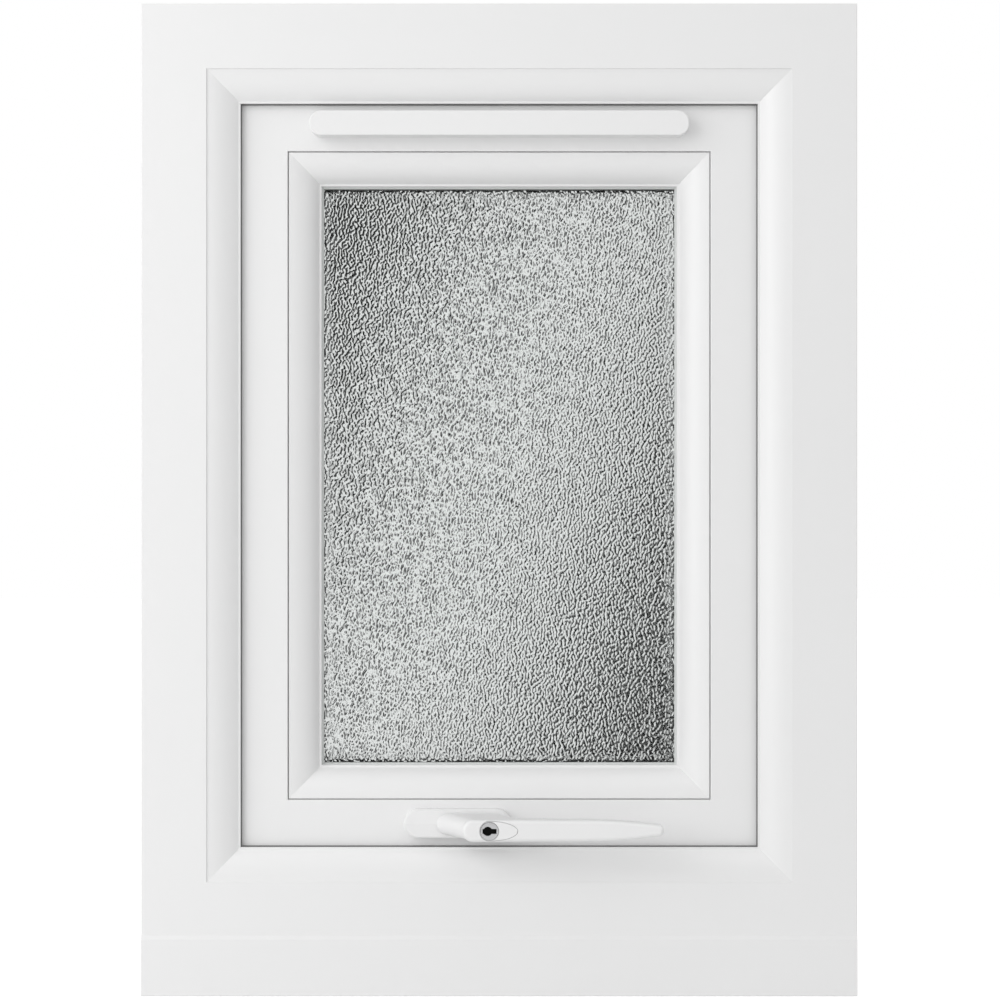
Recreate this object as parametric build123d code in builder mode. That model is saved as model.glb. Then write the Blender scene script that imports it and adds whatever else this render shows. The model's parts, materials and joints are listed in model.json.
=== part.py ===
from build123d import *
import os
from math import tan, radians

os.makedirs("parts", exist_ok=True)

# Overall size of the window, standing on its cill
WINDOW_WIDTH = 440.0
WINDOW_HEIGHT = 610.0
CILL_HEIGHT = 30.0

# Outer frame section. Depth is counted from the room face, reach from the outer edge inward
FRAME_FLAT = 40.0
MOULDING_WIDTH = 20.0
MOULDING_FALL = 10.2
MOULDING_START_TILT = 5.0
QUIRK = 0.8
LIP_LAND = 1.3
UPSTAND_THICKNESS = 12.0
SEAL_GAP = 3.0
SEAL_GROOVE_WIDTH = 3.0
SEAL_GROOVE_DEPTH = 3.0
SEAL_SHOW = 0.5
LUG_CHANNEL_WIDTH = 8.0
LUG_CHANNEL_DEPTH = 2.5
EDGE_ROUND = 0.6

# Sash section
GEAR_GAP = 13.0
FLANGE_LAP = 8.0
FLANGE_THICKNESS = 12.0
OUTER_LEG_THICKNESS = 19.0
SASH_MARGIN = 28.8
GEAR_GROOVE_WIDTH = 16.0
GEAR_GROOVE_DEPTH = 3.0
OUTER_MOULDING_FALL = 10.0
OUTER_LIP_SETBACK = 1.8

# Glazing beads and sealed unit
BEAD_WIDTH = 20.0
BEAD_FALL = 14.0
BEAD_DEPTH = 17.5
BEAD_START_TILT = 8.0
BEAD_JOINT_GAP = 0.5
BEAD_JOINT_DEPTH = 4.0
BEAD_TONGUE_WIDTH = 3.4
BEAD_TONGUE_LENGTH = 2.0
TONGUE_CLEARANCE = 0.2
PANE_THICKNESS = 4.0
CAVITY_WIDTH = 20.0
PANE_EDGE_CLEARANCE = 5.0
BEAD_GASKET_THICKNESS = 2.5
OUTER_GASKET_THICKNESS = 3.0
GASKET_WIDTH = 6.0
GASKET_SHOW = 1.2
SPACER_WIDTH = 7.0
SPACER_SETBACK = 1.0

# Walls of the hollow profiles, and the share of the depth that each side chamber takes
WALL = 2.8
WEB = 1.5
SIDE_CHAMBER = 0.25

# Cill
CILL_DEPTH = 150.0
CILL_PROUD = 1.0
CILL_LIP_RISE = 7.3
CILL_LIP_BEVEL = 2.5
CILL_SLOPE = 7.5
CILL_NOSE_ROUND = 4.0
CILL_DRIP_WIDTH = 4.0
CILL_DRIP_DEPTH = 3.0
CILL_DRIP_SETBACK = 12.0
CILL_CHAMBERS = 4
CILL_CAP_THICKNESS = 2.0

# Vent cover inside and its hood outside
VENT_END_MARGIN = 43.0
VENT_HEIGHT = 15.2
VENT_PROJECTION = 12.0
VENT_DROP = 12.9
VENT_CORNER = 7.2
HOOD_EXTRA_LENGTH = 10.0
HOOD_HEIGHT = 22.0
HOOD_PROJECTION = 14.0
HOOD_CORNER = 4.0
HOOD_BROW = 4.0
HOOD_PITCH = 40.0
HOOD_WALL = 1.6
HOOD_RIBS = 11
HOOD_RIB_THICKNESS = 1.2

# Handle, measured from its pivot and from the sash face
HANDLE_OFFSET = -25.8
HANDLE_RISE = 0.5
BASE_LENGTH = 66.0
BASE_HEIGHT = 17.9
BASE_THICKNESS = 9.0
BASE_RIDGE_PITCH = 9.0
BASE_CHAMFER = 1.0
LEVER_REACH = 125.2
LEVER_PROJECTION = 42.0
LEVER_THICKNESS = 12.0
LEVER_HEIGHT = 13.6
LEVER_ROUND = 2.4
LEVER_TIP_HEIGHT = 5.9
HEEL_START = 3.5
SHOULDER_REACH = 100.0
SHOULDER_HEIGHT = 12.4
HEEL_ROUND = 6.5
SHOULDER_ROUND = 320.0
TIP_ROUND = 2.6
NECK_LENGTH = 36.0
NECK_SHIFT = 7.1
NECK_HEIGHT = 13.2
NECK_TILT = 32.5
NECK_LIFT = 0.3
BOSS_RADIUS = 7.0
BOSS_CLEARANCE = 0.06
BOSS_DEPTH = 5.0
SPINDLE_SIZE = 7.0
SPINDLE_REACH = 25.0
SPINDLE_SOCKET = 12.0
SPINDLE_HOLE_RADIUS = 6.0
LOCK_OFFSET = 20.0
LOCK_RADIUS = 5.35
LOCK_DEPTH = 6.0
LOCK_PROUD = 0.3
INSERT_RADIUS = 6.1
INSERT_TAIL = 17.2
INSERT_GAP = 0.25
LOCK_CLEARANCE = 0.25
KEYHOLE_LENGTH = 8.5
KEYHOLE_HEIGHT = 3.0
KEYHOLE_RADIUS = 2.8
KEYHOLE_SHIFT = 1.1
KEYHOLE_DEPTH = 5.0

# Reaches and depths that follow from the sizes above
HALF_WIDTH = WINDOW_WIDTH / 2
HALF_HEIGHT = (WINDOW_HEIGHT - CILL_HEIGHT) / 2
CENTRE_HEIGHT = CILL_HEIGHT + HALF_HEIGHT
FRAME_LIP = FRAME_FLAT + MOULDING_WIDTH
SASH_EDGE = FRAME_FLAT + GEAR_GAP
FLANGE_EDGE = FRAME_FLAT - FLANGE_LAP
BEAD_JOINT = FRAME_LIP + SASH_MARGIN
BEAD_LIP = BEAD_JOINT + BEAD_WIDTH
OUTER_LIP = BEAD_LIP - OUTER_LIP_SETBACK
UNIT_EDGE = BEAD_JOINT + PANE_EDGE_CLEARANCE
SASH_FACE = UPSTAND_THICKNESS + SEAL_GAP
BEAD_BACK = SASH_FACE + BEAD_DEPTH
UNIT_FRONT = BEAD_BACK + BEAD_GASKET_THICKNESS
CAVITY_FRONT = UNIT_FRONT + PANE_THICKNESS
CAVITY_BACK = CAVITY_FRONT + CAVITY_WIDTH
UNIT_BACK = CAVITY_BACK + PANE_THICKNESS
OUTER_LEG_FACE = UNIT_BACK + OUTER_GASKET_THICKNESS
SASH_BACK = OUTER_LEG_FACE + OUTER_LEG_THICKNESS
SASH_DEPTH = SASH_BACK - SASH_FACE
FLANGE_FACE = SASH_BACK - FLANGE_THICKNESS
FRAME_DEPTH = FLANGE_FACE - SEAL_GAP
ROOM_FACE = -FRAME_DEPTH / 2
TONGUE_START = BEAD_BACK - BEAD_TONGUE_WIDTH - WALL
SEAL_GROOVE_START = SASH_EDGE - SEAL_GROOVE_WIDTH

INWARD = {
    "head": Vector(0, 0, -1),
    "bottom": Vector(0, 0, 1),
    "left": Vector(1, 0, 0),
    "right": Vector(-1, 0, 0),
}
OUTWARD_DEPTH = Vector(0, 1, 0)


def save(builder, name):
    builder.part.label = name
    export_step(builder.part, f"parts/{name}.step")


def box_section(depth_from, depth_to, reach_from, reach_to):
    """A rectangular chamber taken out of the section being drawn."""
    with Locations(((depth_from + depth_to) / 2, (reach_from + reach_to) / 2)):
        Rectangle(depth_to - depth_from, reach_to - reach_from, mode=Mode.SUBTRACT)


def round_corners(sketch, points, radius):
    """Rounds the corners of a drawn section that lie at the given points."""
    fillet([sketch.vertices().sort_by_distance(point)[0] for point in points], radius)


def mitred_bar(section, side):
    """One side of a four-sided frame, with its ends cut at 45 degrees."""
    inward = INWARD[side]
    run = OUTWARD_DEPTH.cross(inward)
    upright = side in ("left", "right")
    half_run = HALF_HEIGHT if upright else HALF_WIDTH
    to_edge = HALF_WIDTH if upright else HALF_HEIGHT
    middle = Vector(0, ROOM_FACE, CENTRE_HEIGHT) - inward * to_edge
    with BuildPart() as bar:
        with BuildSketch(Plane(origin=middle, x_dir=OUTWARD_DEPTH, z_dir=run)):
            add(section)
        extrude(amount=half_run, both=True)
        for end in (-1, 1):
            corner = middle + run * (half_run * end)
            split(bisect_by=Plane(origin=corner, z_dir=run * end + inward), keep=Keep.BOTTOM)
    return bar


def frame_section():
    lip_start = (MOULDING_FALL, FRAME_LIP - LIP_LAND)
    groove_end = SEAL_GROOVE_START + SEAL_GROOVE_WIDTH
    groove_floor = UPSTAND_THICKNESS - SEAL_GROOVE_DEPTH
    with BuildSketch() as section:
        with BuildLine():
            Polyline((0, 0), (0, FRAME_FLAT), (QUIRK, FRAME_FLAT))
            TangentArc((QUIRK, FRAME_FLAT), lip_start, tangent=(tan(radians(MOULDING_START_TILT)), 1))
            Polyline(
                lip_start,
                (MOULDING_FALL, FRAME_LIP),
                (UPSTAND_THICKNESS, FRAME_LIP),
                (UPSTAND_THICKNESS, groove_end),
                (groove_floor, groove_end),
                (groove_floor, SEAL_GROOVE_START),
                (UPSTAND_THICKNESS, SEAL_GROOVE_START),
                (UPSTAND_THICKNESS, FRAME_FLAT),
                (FRAME_DEPTH, FRAME_FLAT),
                (FRAME_DEPTH, 0),
                (0, 0),
            )
        make_face()
        round_corners(section, [(0, 0), (FRAME_DEPTH, 0), (FRAME_DEPTH, FRAME_FLAT)], EDGE_ROUND)
        round_corners(section, [(MOULDING_FALL, FRAME_LIP)], EDGE_ROUND / 2)
        room_end = FRAME_DEPTH * SIDE_CHAMBER
        street_start = FRAME_DEPTH - room_end
        for channel_middle in (room_end, street_start):
            half = LUG_CHANNEL_WIDTH / 2
            box_section(channel_middle - half, channel_middle + half, 0, LUG_CHANNEL_DEPTH)
        floor = LUG_CHANNEL_DEPTH + WALL
        roof = FRAME_FLAT - WALL
        box_section(WALL, room_end - WEB, floor, roof)
        box_section(room_end, street_start, floor, roof)
        box_section(street_start + WEB, FRAME_DEPTH - WALL, floor, roof)
        upstand_roof = SEAL_GROOVE_START - WALL
        with BuildLine():
            Polyline(
                (QUIRK + WALL, roof + WEB),
                (UPSTAND_THICKNESS - WALL, roof + WEB),
                (UPSTAND_THICKNESS - WALL, upstand_roof),
                (QUIRK + WALL * 2, upstand_roof),
                close=True,
            )
        make_face(mode=Mode.SUBTRACT)
    return section.sketch


def sash_section():
    lip_depth = SASH_BACK - OUTER_MOULDING_FALL
    lip_start = (lip_depth, OUTER_LIP - LIP_LAND)
    tongue_end = TONGUE_START + BEAD_TONGUE_WIDTH + TONGUE_CLEARANCE
    tongue_start = TONGUE_START - TONGUE_CLEARANCE
    tongue_floor = BEAD_JOINT - BEAD_TONGUE_LENGTH - TONGUE_CLEARANCE
    gear_start = SASH_FACE + (SASH_DEPTH - GEAR_GROOVE_WIDTH) / 2
    gear_floor = SASH_EDGE + GEAR_GROOVE_DEPTH
    with BuildSketch() as section:
        with BuildLine():
            Polyline(
                (SASH_BACK, BEAD_JOINT),
                (SASH_BACK, FLANGE_EDGE),
                (FLANGE_FACE, FLANGE_EDGE),
                (FLANGE_FACE, SASH_EDGE),
                (SASH_FACE, SASH_EDGE),
                (SASH_FACE, BEAD_JOINT),
                (OUTER_LEG_FACE, BEAD_JOINT),
                (OUTER_LEG_FACE, OUTER_LIP),
                (lip_depth, OUTER_LIP),
                lip_start,
            )
            street_tangent = (-tan(radians(MOULDING_START_TILT)), 1)
            TangentArc((SASH_BACK - QUIRK, BEAD_JOINT), lip_start, tangent=street_tangent)
            Line((SASH_BACK - QUIRK, BEAD_JOINT), (SASH_BACK, BEAD_JOINT))
        make_face()
        round_corners(section, [(SASH_FACE, BEAD_JOINT), (SASH_BACK, FLANGE_EDGE)], EDGE_ROUND)
        round_corners(section, [(lip_depth, OUTER_LIP)], EDGE_ROUND / 2)
        box_section(tongue_start, tongue_end, tongue_floor, BEAD_JOINT)
        box_section(gear_start, gear_start + GEAR_GROOVE_WIDTH, SASH_EDGE, gear_floor)
        floor = gear_floor + WALL
        roof = tongue_floor - WEB
        room_end = SASH_FACE + SASH_DEPTH * SIDE_CHAMBER
        street_start = SASH_BACK - SASH_DEPTH * SIDE_CHAMBER
        box_section(SASH_FACE + WALL, room_end - WEB, floor, roof)
        box_section(room_end, street_start, floor, roof)
        box_section(street_start + WEB, SASH_BACK - WALL, floor, roof)
        box_section(FLANGE_FACE + WALL, SASH_BACK - WALL, FLANGE_EDGE + WALL, SASH_EDGE)
        with BuildLine():
            Polyline(
                (OUTER_LEG_FACE + WALL, BEAD_JOINT + WEB),
                (SASH_BACK - WALL * 2, BEAD_JOINT + WEB),
                (lip_depth, OUTER_LIP - WALL * 2),
                (OUTER_LEG_FACE + WALL, OUTER_LIP - WALL * 2),
                close=True,
            )
        make_face(mode=Mode.SUBTRACT)
    return section.sketch


def bead_section():
    lip_depth = SASH_FACE + BEAD_FALL
    lip_start = (lip_depth, BEAD_LIP - LIP_LAND)
    arc_start = (SASH_FACE + QUIRK, BEAD_JOINT + BEAD_JOINT_GAP)
    joint_floor = SASH_FACE + BEAD_JOINT_DEPTH
    tongue_tip = BEAD_JOINT - BEAD_TONGUE_LENGTH
    with BuildSketch() as section:
        with BuildLine():
            TangentArc(arc_start, lip_start, tangent=(tan(radians(BEAD_START_TILT)), 1))
            Polyline(
                lip_start,
                (lip_depth, BEAD_LIP),
                (BEAD_BACK, BEAD_LIP),
                (BEAD_BACK, BEAD_JOINT),
                (TONGUE_START + BEAD_TONGUE_WIDTH, BEAD_JOINT),
                (TONGUE_START + BEAD_TONGUE_WIDTH, tongue_tip),
                (TONGUE_START, tongue_tip),
                (TONGUE_START, BEAD_JOINT),
                (joint_floor, BEAD_JOINT),
                (joint_floor, BEAD_JOINT + BEAD_JOINT_GAP),
                arc_start,
            )
        make_face()
        round_corners(section, [arc_start], EDGE_ROUND)
        round_corners(section, [(lip_depth, BEAD_LIP)], EDGE_ROUND / 2)
        with BuildLine():
            Polyline(
                (joint_floor + WEB, BEAD_JOINT + WEB),
                (BEAD_BACK - WEB, BEAD_JOINT + WEB),
                (BEAD_BACK - WEB, BEAD_LIP - WALL * 2),
                (lip_depth - WEB, BEAD_LIP - WALL * 2),
                close=True,
            )
        make_face(mode=Mode.SUBTRACT)
    return section.sketch


def face_plane(depth):
    """A plane across the window at a depth, facing the street, centred on the frame."""
    return Plane(origin=(0, ROOM_FACE + depth, CENTRE_HEIGHT), x_dir=(1, 0, 0), z_dir=(0, 1, 0))


def strip_loop(reach_from, reach_to):
    """A four-sided strip, from one reach to a further one."""
    with BuildSketch() as strip:
        Rectangle(2 * (HALF_WIDTH - reach_from), 2 * (HALF_HEIGHT - reach_from))
        Rectangle(2 * (HALF_WIDTH - reach_to), 2 * (HALF_HEIGHT - reach_to), mode=Mode.SUBTRACT)
    return strip.sketch


def strip_ring(reach_from, reach_to, depth_from, depth_to):
    """A four-sided strip as a solid between two depths."""
    with BuildPart() as ring:
        with BuildSketch(face_plane(depth_from)):
            add(strip_loop(reach_from, reach_to))
        extrude(amount=depth_to - depth_from)
    return ring


def pane(depth_from):
    with BuildPart() as sheet:
        with BuildSketch(face_plane(depth_from)):
            Rectangle(2 * (HALF_WIDTH - UNIT_EDGE), 2 * (HALF_HEIGHT - UNIT_EDGE))
        extrude(amount=PANE_THICKNESS)
    return sheet


# Handle places used by the sash as well
VISIBLE_SASH_FOOT = CILL_HEIGHT + FRAME_LIP
HANDLE_HEIGHT = VISIBLE_SASH_FOOT + SASH_MARGIN / 2 + HANDLE_RISE
SASH_FACE_Y = ROOM_FACE + SASH_FACE
SASH_BACK_Y = ROOM_FACE + SASH_BACK


def handle_plane(projection):
    """A plane facing the room at the pivot, so far in front of the sash face."""
    origin = (HANDLE_OFFSET, SASH_FACE_Y - projection, HANDLE_HEIGHT)
    return Plane(origin=origin, x_dir=(1, 0, 0), z_dir=(0, -1, 0))


# Outer frame, sash and glazing beads, one bar on each of the four sides
frame_profile = frame_section()
sash_profile = sash_section()
bead_profile = bead_section()
for side in INWARD:
    frame_bar = mitred_bar(frame_profile, side)
    save(frame_bar, f"frame_{side}")
    bead_bar = mitred_bar(bead_profile, side)
    save(bead_bar, f"bead_{side}")
    with BuildPart() as sash_bar:
        add(mitred_bar(sash_profile, side).part)
        if side == "bottom":
            with BuildSketch(handle_plane(-SPINDLE_REACH)):
                Circle(SPINDLE_HOLE_RADIUS)
            extrude(amount=SPINDLE_REACH, mode=Mode.SUBTRACT)
    save(sash_bar, f"sash_{side}")

# Seals and gaskets
with BuildPart() as frame_seal:
    with BuildSketch(face_plane(UPSTAND_THICKNESS)):
        add(strip_loop(SEAL_GROOVE_START, SASH_EDGE))
    extrude(amount=-SEAL_GROOVE_DEPTH)
    with BuildSketch(face_plane(UPSTAND_THICKNESS)):
        add(strip_loop(SEAL_GROOVE_START, FRAME_LIP + SEAL_SHOW))
    extrude(amount=SEAL_GAP)
save(frame_seal, "frame_seal")

SASH_SEAL_EDGE = FLANGE_EDGE + SEAL_GROOVE_WIDTH / 2
sash_seal = strip_ring(SASH_SEAL_EDGE, FRAME_FLAT - EDGE_ROUND, FRAME_DEPTH, FLANGE_FACE)
save(sash_seal, "sash_seal")

inner_gasket = strip_ring(BEAD_LIP - GASKET_WIDTH, BEAD_LIP + GASKET_SHOW, BEAD_BACK, UNIT_FRONT)
save(inner_gasket, "inner_gasket")

outer_gasket = strip_ring(OUTER_LIP - GASKET_WIDTH, OUTER_LIP + GASKET_SHOW, UNIT_BACK, OUTER_LEG_FACE)
save(outer_gasket, "outer_gasket")

# Sealed unit
inner_pane = pane(UNIT_FRONT)
save(inner_pane, "inner_pane")

outer_pane = pane(CAVITY_BACK)
save(outer_pane, "outer_pane")

SPACER_FACE = BEAD_LIP - SPACER_SETBACK
spacer_bar = strip_ring(SPACER_FACE - SPACER_WIDTH, SPACER_FACE, CAVITY_FRONT, CAVITY_BACK)
save(spacer_bar, "spacer_bar")

# Cill
CILL_BACK = ROOM_FACE - CILL_PROUD
CILL_NOSE = CILL_BACK + CILL_DEPTH
CILL_BREAK = -ROOM_FACE


def cill_top(depth):
    """Height of the cill's weathered top, which falls away outside the frame."""
    return CILL_HEIGHT - max(0, depth - CILL_BREAK) * tan(radians(CILL_SLOPE))


def cill_outline():
    lip_top = CILL_HEIGHT + CILL_LIP_RISE
    drip_end = CILL_NOSE - CILL_DRIP_SETBACK
    with BuildSketch() as section:
        with BuildLine():
            Polyline(
                (CILL_BACK, 0),
                (CILL_BACK, lip_top - CILL_LIP_BEVEL),
                (ROOM_FACE, lip_top),
                (ROOM_FACE, CILL_HEIGHT),
                (CILL_BREAK, CILL_HEIGHT),
                (CILL_NOSE, cill_top(CILL_NOSE)),
                (CILL_NOSE, 0),
                close=True,
            )
        make_face()
        round_corners(section, [(CILL_NOSE, cill_top(CILL_NOSE))], CILL_NOSE_ROUND)
        round_corners(section, [(CILL_NOSE, 0), (CILL_BACK, 0)], EDGE_ROUND)
        box_section(drip_end - CILL_DRIP_WIDTH, drip_end, 0, CILL_DRIP_DEPTH)
    return section.sketch


def cill_chamber(number):
    """One of the hollows, counted from the room side, under the sloping top."""
    chamber_floor = CILL_DRIP_DEPTH + WEB
    first = CILL_BACK + WALL
    pitch = (CILL_NOSE - WALL - first + WEB) / CILL_CHAMBERS
    start = first + number * pitch
    end = start + pitch - WEB
    corners = [(start, chamber_floor), (start, cill_top(start) - WALL)]
    if start < CILL_BREAK < end:
        corners.append((CILL_BREAK, CILL_HEIGHT - WALL))
    corners += [(end, cill_top(end) - WALL), (end, chamber_floor)]
    with BuildSketch() as hollow:
        with BuildLine():
            Polyline(*corners, close=True)
        make_face()
    return hollow.sketch


with BuildPart() as cill:
    with BuildSketch(Plane.YZ):
        add(cill_outline())
        for number in range(CILL_CHAMBERS):
            add(cill_chamber(number), mode=Mode.SUBTRACT)
    extrude(amount=HALF_WIDTH - CILL_CAP_THICKNESS, both=True)
save(cill, "cill")

for cap_name, cap_start in (("left", -HALF_WIDTH), ("right", HALF_WIDTH - CILL_CAP_THICKNESS)):
    with BuildPart() as cill_cap:
        with BuildSketch(Plane.YZ.offset(cap_start)):
            add(cill_outline())
        extrude(amount=CILL_CAP_THICKNESS)
    save(cill_cap, f"cill_cap_{cap_name}")

# Vent cover on the room side of the sash head
VENT_LENGTH = 2 * (HALF_WIDTH - FRAME_LIP - VENT_END_MARGIN)
VENT_LEVEL = WINDOW_HEIGHT - FRAME_LIP - VENT_DROP

with BuildPart() as vent_cover:
    with BuildSketch(Plane(origin=(0, SASH_FACE_Y, VENT_LEVEL), x_dir=(1, 0, 0), z_dir=(0, -1, 0))):
        RectangleRounded(VENT_LENGTH, VENT_HEIGHT, VENT_CORNER)
    extrude(amount=VENT_PROJECTION)
    fillet(vent_cover.faces().sort_by(Axis.Y)[0].edges(), EDGE_ROUND)
save(vent_cover, "vent_cover")

# Vent hood on the weather side: a sloping brow over an opening that faces down
HOOD_LENGTH = VENT_LENGTH + HOOD_EXTRA_LENGTH
HOOD_TOP = HOOD_HEIGHT / 2
HOOD_FALL = (HOOD_PROJECTION - HOOD_BROW) * tan(radians(HOOD_PITCH))
HOOD_PLANE = Plane(origin=(0, SASH_BACK_Y, VENT_LEVEL), x_dir=(0, 1, 0), z_dir=(1, 0, 0))


def hood_side(inset):
    """The hood seen from its end, drawn inside the outer outline by a wall's thickness."""
    with BuildSketch() as outline:
        with BuildLine():
            Polyline(
                (inset, -HOOD_TOP),
                (inset, HOOD_TOP - inset),
                (HOOD_BROW, HOOD_TOP - inset),
                (HOOD_PROJECTION - inset, HOOD_TOP - HOOD_FALL - inset),
                (HOOD_PROJECTION - inset, -HOOD_TOP),
                close=True,
            )
        make_face()
    return outline.sketch


with BuildPart() as vent_hood:
    with BuildSketch(HOOD_PLANE):
        add(hood_side(0))
    extrude(amount=HOOD_LENGTH / 2, both=True)
    fillet(vent_hood.edges().filter_by(Axis.Y).group_by(Axis.Z)[-1], HOOD_CORNER)
    with BuildSketch(HOOD_PLANE):
        add(hood_side(HOOD_WALL))
    extrude(amount=HOOD_LENGTH / 2 - HOOD_WALL, both=True, mode=Mode.SUBTRACT)
    rib_pitch = (HOOD_LENGTH - 2 * HOOD_WALL) / (HOOD_RIBS + 1)
    for rib in range(HOOD_RIBS):
        rib_middle = (rib - (HOOD_RIBS - 1) / 2) * rib_pitch
        with BuildSketch(HOOD_PLANE.offset(rib_middle)):
            add(hood_side(HOOD_WALL))
        extrude(amount=HOOD_RIB_THICKNESS / 2, both=True)
save(vent_hood, "vent_hood")

# Handle base: a rounded plate with a shallow ridge along its middle
with BuildPart() as handle_base:
    with BuildSketch(handle_plane(0)):
        SlotOverall(BASE_LENGTH, BASE_HEIGHT)
    extrude(amount=BASE_THICKNESS)
    ridge = handle_plane(BASE_THICKNESS)
    for tilt in (-BASE_RIDGE_PITCH, BASE_RIDGE_PITCH):
        split(bisect_by=ridge.rotated((tilt, 0, 0)), keep=Keep.BOTTOM)
    slopes = handle_base.faces().sort_by(Axis.Y)[:2]
    rim = slopes.edges().filter_by(lambda edge: abs(edge.center().Z - HANDLE_HEIGHT) > BASE_CHAMFER)
    chamfer(rim, BASE_CHAMFER)
    with BuildSketch(handle_plane(BASE_THICKNESS - BOSS_DEPTH)):
        Circle(BOSS_RADIUS + BOSS_CLEARANCE)
    extrude(amount=BOSS_DEPTH, mode=Mode.SUBTRACT)
    with BuildSketch(handle_plane(0)):
        Circle(SPINDLE_HOLE_RADIUS)
    extrude(amount=BASE_THICKNESS, mode=Mode.SUBTRACT)
save(handle_base, "handle_base")

# Handle lever
NECK_FOOT = BASE_THICKNESS + NECK_LIFT
LEVER_BACK = LEVER_PROJECTION - LEVER_THICKNESS
BOSS_FOOT = BASE_THICKNESS - BOSS_DEPTH
INSERT_FLOOR = LEVER_PROJECTION - LOCK_DEPTH


def lever_grip():
    """A tapering bar with rounded edges, drawn as a few corners and rounded at each."""
    heel = LEVER_HEIGHT / 2
    shoulder = SHOULDER_HEIGHT / 2
    tip = LEVER_TIP_HEIGHT / 2
    upper_corners = [(HEEL_START, heel), (SHOULDER_REACH, shoulder), (LEVER_REACH, tip)]
    lower_corners = [(reach, -height) for reach, height in reversed(upper_corners)]
    with BuildPart() as grip:
        with BuildSketch(handle_plane(LEVER_BACK)) as outline:
            with BuildLine():
                Polyline(*upper_corners, *lower_corners, close=True)
            make_face()
            for corner, radius in zip(upper_corners, (HEEL_ROUND, SHOULDER_ROUND, TIP_ROUND)):
                mirrored = (corner[0], -corner[1])
                round_corners(outline, [corner, mirrored], radius)
        extrude(amount=LEVER_THICKNESS)
        fillet(grip.faces().filter_by(Axis.Y).edges(), LEVER_ROUND)
    return grip.part


def lever_neck():
    """An oblong post that leans from the base to the heel of the grip."""
    tilted_plane = handle_plane(NECK_FOOT).rotated((0, 0, NECK_TILT))
    with BuildPart() as neck:
        with BuildSketch(tilted_plane):
            with Locations((NECK_SHIFT, 0)):
                SlotOverall(NECK_LENGTH, NECK_HEIGHT)
        extrude(amount=LEVER_PROJECTION, both=True)
        split(bisect_by=handle_plane(NECK_FOOT), keep=Keep.TOP)
        split(bisect_by=handle_plane(INSERT_FLOOR), keep=Keep.BOTTOM)
    return neck.part


def insert_outline(inset):
    """Almond outline round the lock: half a circle drawn out to half an ellipse."""
    radius = INSERT_RADIUS - inset
    lock_middle = (LOCK_OFFSET, 0)
    with BuildSketch() as almond:
        with BuildLine():
            CenterArc(lock_middle, radius, 90, 180)
            EllipticalCenterArc(lock_middle, INSERT_TAIL - inset, radius, -90, arc_size=180)
        make_face()
    return almond.sketch


with BuildPart() as handle_lever:
    add(lever_grip())
    add(lever_neck())
    with BuildSketch(handle_plane(BOSS_FOOT)):
        Circle(BOSS_RADIUS)
    extrude(amount=BOSS_DEPTH + NECK_LIFT)
    with BuildSketch(handle_plane(BOSS_FOOT)):
        Rectangle(SPINDLE_SIZE, SPINDLE_SIZE)
    extrude(amount=SPINDLE_SOCKET, mode=Mode.SUBTRACT)
    with BuildSketch(handle_plane(INSERT_FLOOR)):
        add(insert_outline(0))
    extrude(amount=LOCK_DEPTH, mode=Mode.SUBTRACT)
save(handle_lever, "handle_lever")

# Lock insert, flush with the lever round it
with BuildPart() as lock_insert:
    add(lever_grip())
    with BuildSketch(handle_plane(INSERT_FLOOR)):
        add(insert_outline(INSERT_GAP))
    extrude(amount=LOCK_DEPTH, mode=Mode.INTERSECT)
    with BuildSketch(handle_plane(INSERT_FLOOR)):
        with Locations((LOCK_OFFSET, 0)):
            Circle(LOCK_RADIUS + LOCK_CLEARANCE)
    extrude(amount=LOCK_DEPTH, mode=Mode.SUBTRACT)
save(lock_insert, "lock_insert")

# Lock cylinder with its keyhole
with BuildPart() as lock_cylinder:
    with BuildSketch(handle_plane(INSERT_FLOOR)):
        with Locations((LOCK_OFFSET, 0)):
            Circle(LOCK_RADIUS)
    extrude(amount=LOCK_DEPTH + LOCK_PROUD)
    with BuildSketch(handle_plane(LEVER_PROJECTION + LOCK_PROUD)):
        with Locations((LOCK_OFFSET, 0)):
            Rectangle(KEYHOLE_LENGTH, KEYHOLE_HEIGHT)
        with Locations((LOCK_OFFSET - KEYHOLE_SHIFT, 0)):
            Circle(KEYHOLE_RADIUS)
    extrude(amount=-KEYHOLE_DEPTH, mode=Mode.SUBTRACT)
save(lock_cylinder, "lock_cylinder")

# Square spindle from the lever into the sash
with BuildPart() as handle_spindle:
    with BuildSketch(handle_plane(-SPINDLE_REACH)):
        Rectangle(SPINDLE_SIZE, SPINDLE_SIZE)
    extrude(amount=SPINDLE_REACH + BOSS_FOOT + SPINDLE_SOCKET)
save(handle_spindle, "handle_spindle")
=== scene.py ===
import json
import math

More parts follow.
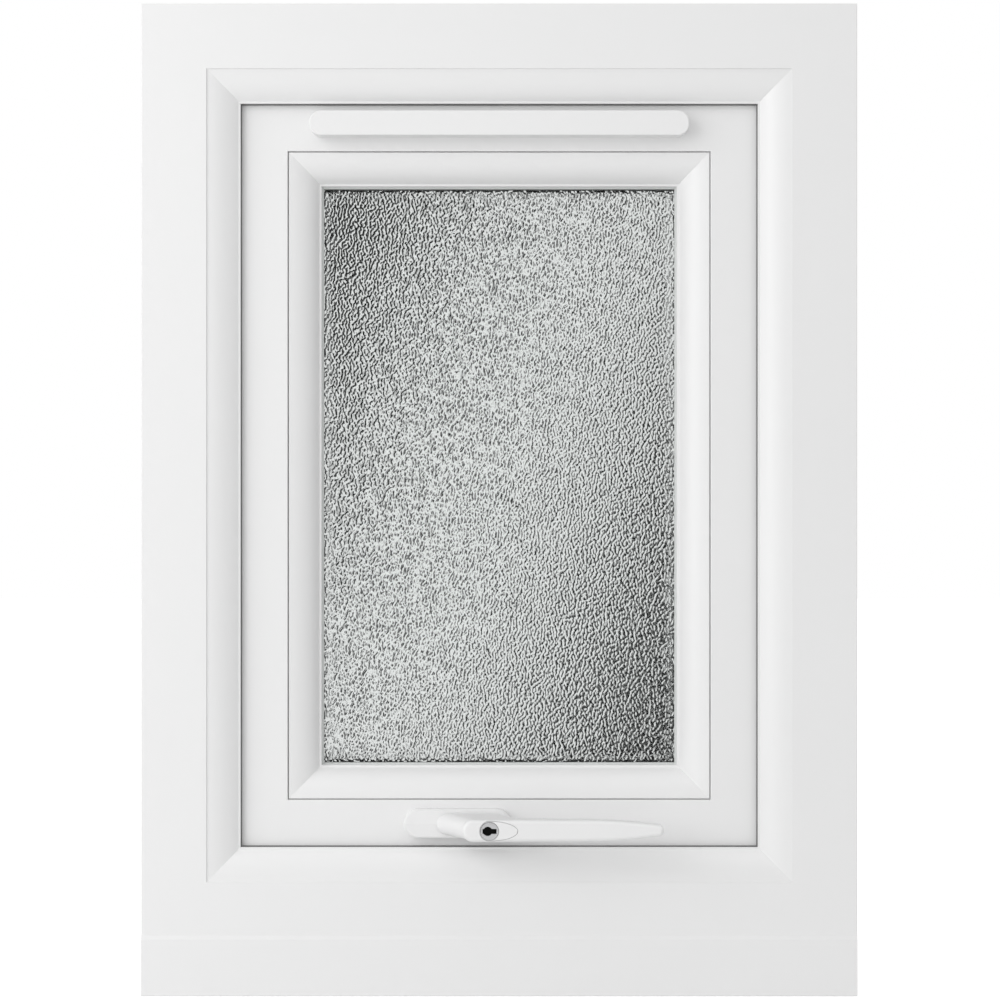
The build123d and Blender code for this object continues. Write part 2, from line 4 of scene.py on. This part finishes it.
import bpy
import numpy as np
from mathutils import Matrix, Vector


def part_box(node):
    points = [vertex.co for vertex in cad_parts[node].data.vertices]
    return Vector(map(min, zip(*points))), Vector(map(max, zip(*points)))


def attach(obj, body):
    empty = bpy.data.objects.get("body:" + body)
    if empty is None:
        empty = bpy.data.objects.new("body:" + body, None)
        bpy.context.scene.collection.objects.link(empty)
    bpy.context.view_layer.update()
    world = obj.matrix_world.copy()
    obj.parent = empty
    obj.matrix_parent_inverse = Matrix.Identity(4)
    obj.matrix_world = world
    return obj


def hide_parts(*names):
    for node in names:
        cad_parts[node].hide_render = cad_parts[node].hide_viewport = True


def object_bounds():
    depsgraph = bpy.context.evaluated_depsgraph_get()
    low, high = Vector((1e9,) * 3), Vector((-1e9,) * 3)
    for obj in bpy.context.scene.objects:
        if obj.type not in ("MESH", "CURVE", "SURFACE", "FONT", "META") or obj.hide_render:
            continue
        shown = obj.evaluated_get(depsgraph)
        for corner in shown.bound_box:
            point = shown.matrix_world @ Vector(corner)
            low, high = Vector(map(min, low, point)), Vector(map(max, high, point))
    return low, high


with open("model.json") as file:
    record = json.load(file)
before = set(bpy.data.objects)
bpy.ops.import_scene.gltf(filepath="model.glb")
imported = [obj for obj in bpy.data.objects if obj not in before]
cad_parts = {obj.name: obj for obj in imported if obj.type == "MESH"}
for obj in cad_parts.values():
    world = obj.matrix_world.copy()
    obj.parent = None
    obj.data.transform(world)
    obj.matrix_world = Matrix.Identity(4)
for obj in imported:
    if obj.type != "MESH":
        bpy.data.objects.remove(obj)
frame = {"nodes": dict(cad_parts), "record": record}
NODES = frame["nodes"]
CAD_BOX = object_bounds()
MM = 0.001

# Camera, square to the room face of the window
CAMERA_HEIGHT = 0.3048
CAMERA_OFFSET = 0.0005
CAMERA_DISTANCE = 1.5
CAMERA_LENS = 87.9

# Light: watts for the lamp, shares of white for the surroundings and the floor
KEY_PLACE = Vector((-1.25, -1.2, 0.85))
KEY_SIZE = 1.5
KEY_POWER = 13.0
SKY_FRONT = 0.955
SKY_SIDE = 0.58
WHITE = (1, 1, 1, 1)
FLOOR_COLOUR = (0.78, 0.78, 0.78, 1)
FLOOR_GLOW = 0.5
FLOOR_HALF = 6.0

# Finishes: a rate is in bumps a metre, and the middle of a noise is what remap spreads
NOISE_LOW = 0.3
NOISE_HIGH = 0.7
PLASTIC_IOR = 1.5
DRIFT_RATE = 9.0
DRIFT_DETAIL = 3.0
LINE_RATE = 700.0
LINE_DETAIL = 4.0
LINE_GLOSS = 0.05
PROFILE_ROUGHNESS = 0.38
PROFILE_DEPTH = 0.006 * MM
MOULDING_ROUGHNESS = 0.40
MOULDING_DEPTH = 0.003 * MM
RUBBER_IOR = 1.45
RUBBER_RATE = 1400.0
RUBBER_DETAIL = 4.0
RUBBER_ROUGHNESS = (0.55, 0.75)
RUBBER_DEPTH = 0.03 * MM
SCRATCH_RATE = 900.0
SCRATCH_DETAIL = 5.0
SCRATCH_STRETCH = (0.12, 1.0, 1.0)
SCRATCH_GLOSS = 0.08
SCRATCH_DEPTH = 0.01 * MM
GLASS = {"Transmission Weight": 1.0, "IOR": 1.5, "Roughness": 0.0}
CLEAR_COLOUR = (0.965, 0.99, 0.98, 1)
OBSCURE_COLOUR = (0.97, 0.97, 0.97, 1)
FLOAT_RATE = 14.0
FLOAT_DETAIL = 1.0
FLOAT_DEPTH = 0.02 * MM

# Obscure glass: pebbles pressed into the cavity side of the outer pane, as a mesh
STIPPLE_SEED = 11
STIPPLE_PITCH = 3.0 * MM
STIPPLE_SPREAD = 0.34
STIPPLE_HEIGHT = 0.05 * MM
STIPPLE_CELL_X = 0.90 * MM
STIPPLE_CELL_Z = 0.97 * MM
STIPPLE_MARGIN = 12 * MM
STIPPLE_LIMIT = 0.4 * MM

# Finer ripple on the pebbles, as bump in the material: its lean is a shift across and down
RIPPLE_LENGTH = 2.5 * MM
RIPPLE_WAVES = 1.0
RIPPLE_DEPTH = 2.9 * MM
RIPPLE_STRETCH = 1.35
RIPPLE_LEAN = (-1.48 * MM, -0.5 * MM, 0)

# Near-black plug in the lock's keyhole, painted shade for the dark inside of the keyhole: a
# little within its walls and sunk behind its face
KEYWAY_LENGTH = 8.46 * MM
KEYWAY_HEIGHT = 2.96 * MM
KEYWAY_RADIUS = 2.78 * MM
KEYWAY_SHIFT = 1.1 * MM
KEYWAY_SINK = 0.5 * MM
KEYWAY_FLOOR = 4.9 * MM
KEYWAY_STEPS = 16

# Card behind the glass: a leaning band of light between two dark sides, over and over.
# Each stop is a place in metres across the band, with its level of light.
CARD_DISTANCE = 0.50
CARD_WIDTH = 3.0
CARD_LIFT = 0.001
CARD_LEAN = -22.0
CARD_REPEAT = 0.64
CARD_STOPS = [
    (-0.26, 0.01),
    (-0.21, 0.08),
    (-0.16, 0.50),
    (-0.12, 0.84),
    (-0.08, 0.90),
    (-0.04, 0.90),
    (0.00, 0.88),
    (0.04, 0.80),
    (0.08, 0.56),
    (0.12, 0.32),
    (0.16, 0.13),
    (0.20, 0.03),
    (0.24, 0.01),
]

# Dark flag round the camera
FLAG_DISTANCE = 1.3
FLAG_WIDTH = 2.4
FLAG_GLOW = 0.05


def add_node(tree, kind, settings=None, **attributes):
    """A shader node with its input sockets and its own options set."""
    node = tree.nodes.new(kind)
    for name, value in attributes.items():
        setattr(node, name, value)
    for name, value in (settings or {}).items():
        node.inputs[name].default_value = value
    return node


def add_mesh(name, points, faces, material):
    """A piece in the scene, from its corners and faces."""
    mesh = bpy.data.meshes.new(name)
    mesh.from_pydata(points, [], faces)
    mesh.materials.append(material)
    piece = bpy.data.objects.new(name, mesh)
    bpy.context.scene.collection.objects.link(piece)
    return piece


def new_material(name, settings):
    """A material with a Principled shader, and where its surface is in metres."""
    material = bpy.data.materials.new(name)
    material.use_nodes = True
    tree = material.node_tree
    shader = tree.nodes["Principled BSDF"]
    for socket, value in settings.items():
        shader.inputs[socket].default_value = value
    place = add_node(tree, "ShaderNodeTexCoord").outputs["Object"]
    return material, tree, shader, place


def bare_material(name):
    """A material with no shader yet, and the socket that takes one."""
    material = bpy.data.materials.new(name)
    material.use_nodes = True
    tree = material.node_tree
    tree.nodes.remove(tree.nodes["Principled BSDF"])
    return material, tree, tree.nodes["Material Output"].inputs["Surface"]


def noise(tree, place, rate, detail, stretch=None):
    """Noise with so many bumps a metre, drawn out along an axis where stretch says."""
    texture = add_node(tree, "ShaderNodeTexNoise", {"Scale": rate, "Detail": detail})
    if stretch:
        mapping = add_node(tree, "ShaderNodeMapping", {"Scale": stretch})
        tree.links.new(place, mapping.inputs["Vector"])
        place = mapping.outputs["Vector"]
    tree.links.new(place, texture.inputs["Vector"])
    return texture.outputs["Fac"]


def remap(tree, value, low, high):
    """The middle of a noise spread from one number to another."""
    limits = {"From Min": NOISE_LOW, "From Max": NOISE_HIGH, "To Min": low, "To Max": high}
    node = add_node(tree, "ShaderNodeMapRange", limits)
    tree.links.new(value, node.inputs["Value"])
    return node.outputs["Result"]


def tint(tree, shader, value, dark, light):
    """A base colour that drifts between two tones."""
    mix = add_node(tree, "ShaderNodeMix", data_type="RGBA")
    mix.inputs["A"].default_value = (*dark, 1)
    mix.inputs["B"].default_value = (*light, 1)
    tree.links.new(value, mix.inputs["Factor"])
    tree.links.new(mix.outputs["Result"], shader.inputs["Base Color"])


def bump(tree, shader, value, depth):
    """Relief of so many metres, as bump."""
    node = add_node(tree, "ShaderNodeBump", {"Strength": 1.0, "Distance": depth})
    tree.links.new(value, node.inputs["Height"])
    tree.links.new(node.outputs["Normal"], shader.inputs["Normal"])
    return node


def plastic(name, stretch, dark, light, roughness, depth):
    """White plastic with a faint drift of tone and fine lines along the way it was drawn."""
    material, tree, shader, place = new_material(name, {"IOR": PLASTIC_IOR})
    tint(tree, shader, noise(tree, place, DRIFT_RATE, DRIFT_DETAIL), dark, light)
    lines = noise(tree, place, LINE_RATE, LINE_DETAIL, stretch)
    gloss = remap(tree, lines, roughness - LINE_GLOSS, roughness + LINE_GLOSS)
    tree.links.new(gloss, shader.inputs["Roughness"])
    bump(tree, shader, lines, depth)
    return material


def rubber(name, dark, light):
    """Matt rubber with a fine grain."""
    material, tree, shader, place = new_material(name, {"IOR": RUBBER_IOR})
    grain = noise(tree, place, RUBBER_RATE, RUBBER_DETAIL)
    tint(tree, shader, grain, dark, light)
    tree.links.new(remap(tree, grain, *RUBBER_ROUGHNESS), shader.inputs["Roughness"])
    bump(tree, shader, grain, RUBBER_DEPTH)
    return material


def metal(name, dark, light, roughness):
    """Metal brushed across the window."""
    material, tree, shader, place = new_material(name, {"Metallic": 1.0})
    scratches = noise(tree, place, SCRATCH_RATE, SCRATCH_DETAIL, SCRATCH_STRETCH)
    tint(tree, shader, scratches, dark, light)
    gloss = remap(tree, scratches, roughness - SCRATCH_GLOSS, roughness + SCRATCH_GLOSS)
    tree.links.new(gloss, shader.inputs["Roughness"])
    bump(tree, shader, scratches, SCRATCH_DEPTH)
    return material


def clear_glass(name):
    """Float glass, with the slight waves that it has."""
    material, tree, shader, place = new_material(name, {"Base Color": CLEAR_COLOUR, **GLASS})
    bump(tree, shader, noise(tree, place, FLOAT_RATE, FLOAT_DETAIL), FLOAT_DEPTH)
    return material


def ripples(tree, place):
    """Bumps of one size all over, in the plane of the glass, with tops that lean to one side.

    The same waves are drawn twice, the second time shifted by the height of the first.
    """
    turned = {"Rotation": (math.radians(90), 0, 0), "Scale": (1, 1, 1 / RIPPLE_STRETCH)}
    turn = add_node(tree, "ShaderNodeMapping", turned)
    tree.links.new(place, turn.inputs["Vector"])
    rate = 1 / (RIPPLE_LENGTH * RIPPLE_WAVES)
    waves = {"Scale": rate, "Frequency": RIPPLE_WAVES, "Anisotropy": 0.0}
    even = add_node(tree, "ShaderNodeTexGabor", waves)
    tree.links.new(turn.outputs["Vector"], even.inputs["Vector"])
    lean = add_node(tree, "ShaderNodeVectorMath", {0: RIPPLE_LEAN}, operation="MULTIPLY_ADD")
    tree.links.new(even.outputs["Value"], lean.inputs[1])
    tree.links.new(turn.outputs["Vector"], lean.inputs[2])
    leaning = add_node(tree, "ShaderNodeTexGabor", waves)
    tree.links.new(lean.outputs["Vector"], leaning.inputs["Vector"])
    return leaning.outputs["Value"]


def obscure_glass(name):
    """Rolled glass whose pebbles carry a finer ripple, on the pressed side only."""
    material, tree, shader, place = new_material(name, {"Base Color": OBSCURE_COLOUR, **GLASS})
    low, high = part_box("outer_pane")
    split = add_node(tree, "ShaderNodeSeparateXYZ")
    tree.links.new(place, split.inputs["Vector"])
    middle = (low.y + high.y) / 2
    pressed_side = add_node(tree, "ShaderNodeMath", {1: middle}, operation="LESS_THAN")
    tree.links.new(split.outputs["Y"], pressed_side.inputs[0])
    relief = bump(tree, shader, ripples(tree, place), RIPPLE_DEPTH)
    tree.links.new(pressed_side.outputs["Value"], relief.inputs["Strength"])
    return material


def grey(level):
    return (level, level, level)


DRAWN_ACROSS = (0.02, 1.0, 1.0)
DRAWN_UPRIGHT = (1.0, 1.0, 0.02)
MOULDED = (0.6, 0.6, 0.6)
WHITES = (grey(0.835), grey(0.855))
PROFILE = (*WHITES, PROFILE_ROUGHNESS, PROFILE_DEPTH)
MOULDING = (*WHITES, MOULDING_ROUGHNESS, MOULDING_DEPTH)

across = plastic("white_profile_across", DRAWN_ACROSS, *PROFILE)
upright = plastic("white_profile_upright", DRAWN_UPRIGHT, *PROFILE)
# Painted shade: a near-black finish for the plug in the keyhole, standing in for the shade
# inside it
keyhole_painted_shade = metal("keyhole_painted_shade", grey(0.006), grey(0.012), 0.6)
FINISHES = {
    "white_moulding": plastic("white_moulding", MOULDED, *MOULDING),
    "white_handle": plastic("white_handle", MOULDED, *MOULDING),
    "grey_seal": rubber("grey_seal", grey(0.13), grey(0.17)),
    "black_seal": rubber("black_seal", grey(0.022), grey(0.035)),
    "grey_gasket": rubber("grey_gasket", (0.63, 0.65, 0.64), (0.69, 0.71, 0.70)),
    "spacer_metal": metal("spacer_metal", grey(0.06), grey(0.10), 0.5),
    "lock_metal": metal("lock_metal", (0.55, 0.55, 0.56), (0.72, 0.72, 0.73), 0.32),
    "spindle_steel": metal("spindle_steel", grey(0.5), grey(0.62), 0.35),
    "clear_glass": clear_glass("clear_glass"),
    "obscure_glass": obscure_glass("obscure_glass"),
}


def finish_for(node, slot):
    """Bars are drawn along their own length, and every other piece has one finish."""
    if slot == "white_profile":
        return upright if node.endswith(("_left", "_right")) else across
    return FINISHES[slot]


for subpart in frame["record"]["subparts"]:
    finish = finish_for(subpart["node"], subpart["material_slot"])
    NODES[subpart["node"]].material_slots[0].material = finish


def stipple(columns, rows):
    """Pebbles of about one size all over, as heights with a spread of one."""
    grain = np.random.default_rng(STIPPLE_SEED).standard_normal((rows, columns))
    across_rates = np.fft.fftfreq(columns, STIPPLE_CELL_X)
    up_rates = np.fft.fftfreq(rows, STIPPLE_CELL_Z)
    rate = np.hypot(*np.meshgrid(across_rates, up_rates)) * STIPPLE_PITCH
    one_size = np.exp(-(((rate - 1) / STIPPLE_SPREAD) ** 2))
    heights = np.fft.ifft2(np.fft.fft2(grain) * one_size).real
    return heights / heights.std()


def grid_lines(low, high, cell):
    """Fine lines over the part that shows, and one wide cell to each hidden edge."""
    start, end = low + STIPPLE_MARGIN, high - STIPPLE_MARGIN
    fine = np.linspace(start, end, round((end - start) / cell) + 1)
    return np.concatenate(([low], fine, [high]))


def obscure_pane():
    """The outer pane as a closed sheet: pebbled towards the cavity, flat outside."""
    low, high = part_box("outer_pane")
    xs = grid_lines(low.x, high.x, STIPPLE_CELL_X)
    zs = grid_lines(low.z, high.z, STIPPLE_CELL_Z)
    columns, rows = len(xs), len(zs)
    depths = np.zeros((rows, columns))
    depths[1:-1, 1:-1] = stipple(columns - 2, rows - 2) * STIPPLE_HEIGHT
    face = low.y + STIPPLE_LIMIT + np.clip(depths, -STIPPLE_LIMIT, STIPPLE_LIMIT)
    grid_x, grid_z = np.meshgrid(xs, zs)
    points = np.stack([grid_x, face, grid_z], axis=-1).reshape(-1, 3).tolist()
    index = np.arange(rows * columns).reshape(rows, columns)
    cell_corners = [index[:-1, :-1], index[:-1, 1:], index[1:, 1:], index[1:, :-1]]
    quads = np.stack(cell_corners, axis=-1).reshape(-1, 4).tolist()
    back = len(points)
    edges = [(low.x, low.z), (high.x, low.z), (high.x, high.z), (low.x, high.z)]
    points += [(x, high.y, z) for x, z in edges]
    sides = [
        [*index[0, ::-1].tolist(), back, back + 1],
        [*index[::-1, -1].tolist(), back + 1, back + 2],
        [*index[-1, :].tolist(), back + 2, back + 3],
        [*index[:, 0].tolist(), back + 3, back],
    ]
    flats = sides + [[back + 3, back + 2, back + 1, back]]
    pane = add_mesh("obscure_pane", points, quads + flats, FINISHES["obscure_glass"])
    smooth = [True] * len(quads) + [False] * len(flats)
    pane.data.polygons.foreach_set("use_smooth", smooth)
    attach(pane, "window")
    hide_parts("outer_pane")


def keyhole_outline():
    """The keyhole seen from the room, about the lock's middle: a slot with a round in it."""
    half_length, half_height = KEYWAY_LENGTH / 2, KEYWAY_HEIGHT / 2
    meet = math.asin(half_height / KEYWAY_RADIUS)
    upper = [(half_length, half_height)]
    for step in range(KEYWAY_STEPS + 1):
        angle = meet + (math.pi - 2 * meet) * step / KEYWAY_STEPS
        round_x = KEYWAY_RADIUS * math.cos(angle) - KEYWAY_SHIFT
        upper.append((round_x, KEYWAY_RADIUS * math.sin(angle)))
    upper.append((-half_length, half_height))
    return upper + [(x, -z) for x, z in reversed(upper)]


def keyhole_shade_plug():
    """A near-black plug behind the lock's face, which its keyhole opens on: painted shade
    standing in for the dark inside of the keyhole.
    """
    low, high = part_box("lock_cylinder")
    outline = keyhole_outline()
    count = len(outline)
    middle_x, middle_z = (low.x + high.x) / 2, (low.z + high.z) / 2
    points = []
    for depth in (KEYWAY_SINK, KEYWAY_FLOOR):
        points += [(middle_x + x, low.y + depth, middle_z + z) for x, z in outline]
    sides = [(i, i + count, (i + 1) % count + count, (i + 1) % count) for i in range(count)]
    faces = [tuple(range(count)), tuple(range(2 * count - 1, count - 1, -1)), *sides]
    plug = add_mesh("keyhole_shade_plug", points, faces, keyhole_painted_shade)
    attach(plug, "handle")


def seen_directly(tree):
    """One for rays that show the surroundings: from the camera, in gloss or through glass."""
    path = add_node(tree, "ShaderNodeLightPath")
    first = add_node(tree, "ShaderNodeMath", operation="MAXIMUM")
    both = add_node(tree, "ShaderNodeMath", operation="MAXIMUM")
    tree.links.new(path.outputs["Is Camera Ray"], first.inputs[0])
    tree.links.new(path.outputs["Is Glossy Ray"], first.inputs[1])
    tree.links.new(first.outputs["Value"], both.inputs[0])
    tree.links.new(path.outputs["Is Transmission Ray"], both.inputs[1])
    return both.outputs["Value"]


def floor_material():
    """A pale floor that shows as white, with the object's shadow left on it."""
    material, tree, surface = bare_material("floor")
    pale = add_node(tree, "ShaderNodeBsdfDiffuse", {"Color": FLOOR_COLOUR})
    glow = add_node(tree, "ShaderNodeEmission", {"Strength": FLOOR_GLOW})
    lit = add_node(tree, "ShaderNodeAddShader")
    tree.links.new(pale.outputs["BSDF"], lit.inputs[0])
    tree.links.new(glow.outputs["Emission"], lit.inputs[1])
    pick = add_node(tree, "ShaderNodeMixShader")
    tree.links.new(seen_directly(tree), pick.inputs["Fac"])
    tree.links.new(pale.outputs["BSDF"], pick.inputs[1])
    tree.links.new(lit.outputs["Shader"], pick.inputs[2])
    tree.links.new(pick.outputs["Shader"], surface)
    return material


def card_material():
    """Leaning bands of light across the card, the middle one about the glass's middle."""
    material, tree, surface = bare_material("card")
    low, high = CARD_STOPS[0][0], CARD_STOPS[-1][0]
    place = add_node(tree, "ShaderNodeTexCoord").outputs["Object"]
    turn = add_node(tree, "ShaderNodeMapping", {"Rotation": (0, math.radians(CARD_LEAN), 0)})
    tree.links.new(place, turn.inputs["Vector"])
    split = add_node(tree, "ShaderNodeSeparateXYZ")
    tree.links.new(turn.outputs["Vector"], split.inputs["Vector"])
    band = {1: CARD_REPEAT / 2, 2: -CARD_REPEAT / 2}
    repeat = add_node(tree, "ShaderNodeMath", band, operation="WRAP")
    tree.links.new(split.outputs["X"], repeat.inputs[0])
    spread = add_node(tree, "ShaderNodeMapRange", {"From Min": low, "From Max": high})
    tree.links.new(repeat.outputs["Value"], spread.inputs["Value"])
    ramp = add_node(tree, "ShaderNodeValToRGB")
    elements = ramp.color_ramp.elements
    while len(elements) < len(CARD_STOPS):
        elements.new(0.5)
    for element, (place_across, level) in zip(elements, CARD_STOPS):
        element.position = (place_across - low) / (high - low)
        element.color = (*grey(level), 1)
    tree.links.new(spread.outputs["Result"], ramp.inputs["Fac"])
    glow = add_node(tree, "ShaderNodeEmission")
    tree.links.new(ramp.outputs["Color"], glow.inputs["Color"])
    tree.links.new(glow.outputs["Emission"], surface)
    return material


def flag_material():
    material, tree, surface = bare_material("flag")
    glow = add_node(tree, "ShaderNodeEmission", {"Strength": FLAG_GLOW})
    tree.links.new(glow.outputs["Emission"], surface)
    return material


def stage_card():
    """A sheet behind the glass that turns forward over the floor, seen only through glass."""
    low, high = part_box("outer_pane")
    middle = (low.z + high.z) / 2
    half, foot = CARD_WIDTH / 2, CARD_LIFT - middle
    near = CAD_BOX[1].y - high.y
    corners = [
        (-half, near, foot),
        (half, near, foot),
        (half, CARD_DISTANCE, foot),
        (-half, CARD_DISTANCE, foot),
        (half, CARD_DISTANCE, half),
        (-half, CARD_DISTANCE, half),
    ]
    card = add_mesh("light_card", corners, [(0, 1, 2, 3), (3, 2, 4, 5)], card_material())
    card.location = (0, high.y, middle)
    card.visible_camera = False
    card.visible_diffuse = False
    card.visible_glossy = False
    card.visible_shadow = False


def stage_flag():
    """A dark flag round the camera, which the glass mirrors in place of the white room."""
    half = FLAG_WIDTH / 2
    corners = [(-half, 0, -half), (half, 0, -half), (half, 0, half), (-half, 0, half)]
    flag = add_mesh("dark_flag", corners, [(0, 1, 2, 3)], flag_material())
    flag.location = (0, -FLAG_DISTANCE, CAMERA_HEIGHT)
    flag.visible_camera = False
    flag.visible_diffuse = False
    flag.visible_shadow = False


def stage_floor():
    half = FLOOR_HALF
    corners = [(-half, -half, 0), (half, -half, 0), (half, half, 0), (-half, half, 0)]
    add_mesh("floor", corners, [(0, 1, 2, 3)], floor_material())


def surroundings():
    """White all round to look at, giving most light from front and back, less from the sides."""
    world = bpy.data.worlds.new("surroundings")
    bpy.context.scene.world = world
    world.use_nodes = True
    tree = world.node_tree
    background = tree.nodes["Background"]
    background.inputs["Color"].default_value = WHITE
    split = add_node(tree, "ShaderNodeSeparateXYZ")
    direction = add_node(tree, "ShaderNodeTexCoord").outputs["Generated"]
    tree.links.new(direction, split.inputs["Vector"])
    facing = add_node(tree, "ShaderNodeMath", operation="ABSOLUTE")
    tree.links.new(split.outputs["X"], facing.inputs[0])
    light = add_node(tree, "ShaderNodeMapRange", {"To Min": SKY_FRONT, "To Max": SKY_SIDE})
    tree.links.new(facing.outputs["Value"], light.inputs["Value"])
    level = add_node(tree, "ShaderNodeMapRange", {"To Max": 1.0})
    tree.links.new(seen_directly(tree), level.inputs["Value"])
    tree.links.new(light.outputs["Result"], level.inputs["To Min"])
    tree.links.new(level.outputs["Result"], background.inputs["Strength"])


def key_lamp():
    lamp = bpy.data.lights.new("key", "AREA")
    lamp.size = KEY_SIZE
    lamp.energy = KEY_POWER
    key = bpy.data.objects.new("key", lamp)
    key.location = KEY_PLACE
    aim = Vector((0, 0, CAMERA_HEIGHT)) - KEY_PLACE
    key.rotation_euler = aim.to_track_quat("-Z", "Y").to_euler()
    bpy.context.scene.collection.objects.link(key)


def photo_camera():
    lens = bpy.data.cameras.new("camera")
    lens.lens = CAMERA_LENS
    camera = bpy.data.objects.new("camera", lens)
    room_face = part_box("frame_head")[0].y
    camera.location = (CAMERA_OFFSET, room_face - CAMERA_DISTANCE, CAMERA_HEIGHT)
    camera.rotation_euler = (math.radians(90), 0, 0)
    bpy.context.scene.collection.objects.link(camera)
    bpy.context.scene.camera = camera


obscure_pane()
keyhole_shade_plug()
stage_card()
stage_flag()
stage_floor()
surroundings()
key_lamp()
photo_camera()
bpy.context.scene.view_settings.view_transform = "Standard"
